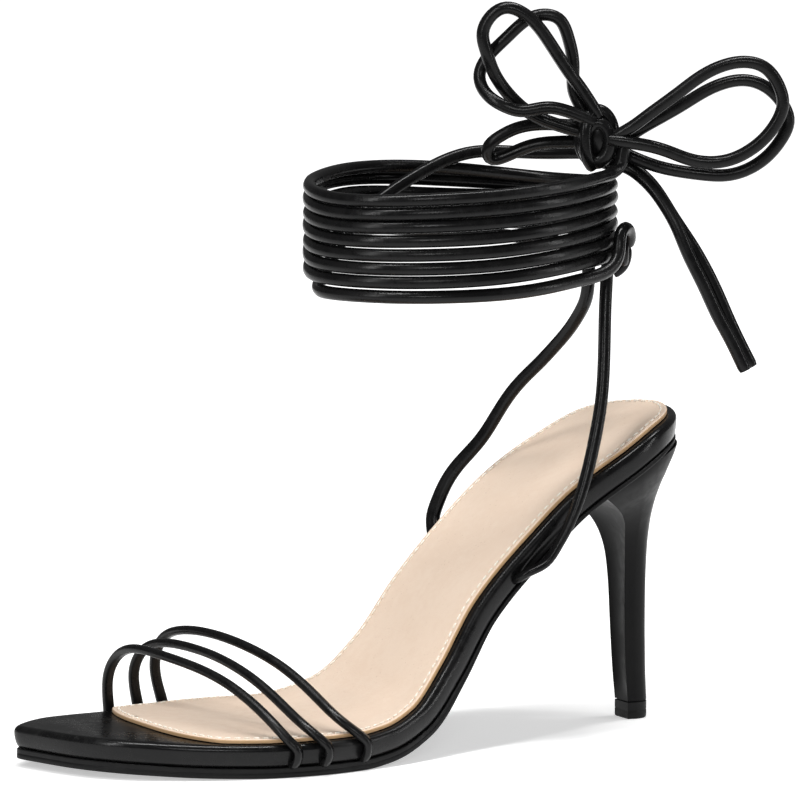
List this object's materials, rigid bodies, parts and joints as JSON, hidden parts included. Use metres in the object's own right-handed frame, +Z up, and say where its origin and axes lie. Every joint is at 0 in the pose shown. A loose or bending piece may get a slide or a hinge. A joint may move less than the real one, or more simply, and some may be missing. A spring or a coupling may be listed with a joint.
{
  "type": "lace up heeled sandal",
  "caption": "Open left sandal on a high slender heel, with slim toe straps and thin laces wound round the ankle and tied in a bow.",
  "frame": {"origin": "on the ground, under the flat of the forefoot, on the centre line of the heel", "axes": "+Z up, the toe points to -X, the heel is at +X, the outer side of this left shoe is at -Y"},
  "size_m": [0.235, 0.0876, 0.2222],
  "materials": {
    "black_cover": "smooth black coated leather, semi-gloss, stretched over the footbed and the heel",
    "black_tread": "black satin rubber",
    "beige_lining": "beige matt lining with fine pores and a stitched edge",
    "black_lace": "round folded black lace of coated leather, semi-gloss, fine grain"
  },
  "bodies": {
    "root": {"outsole": "black_tread", "footbed": "black_cover", "insole_sock": "beige_lining", "heel": "black_cover", "heel_top_piece": "black_tread", "toe_strap_front": "black_lace", "toe_strap_middle": "black_lace", "toe_strap_back": "black_lace", "lace_lateral": "black_lace", "lace_medial": "black_lace", "back_knot": "black_lace", "ankle_wraps": "black_lace", "ankle_crossing": "black_lace", "bow_knot": "black_lace", "bow_loop_left_front": "black_lace", "bow_loop_left_back": "black_lace", "bow_loop_right_front": "black_lace", "bow_loop_right_back": "black_lace", "bow_loop_small": "black_lace", "bow_end_front": "black_lace", "bow_end_back": "black_lace"}
  },
  "joints": []
}
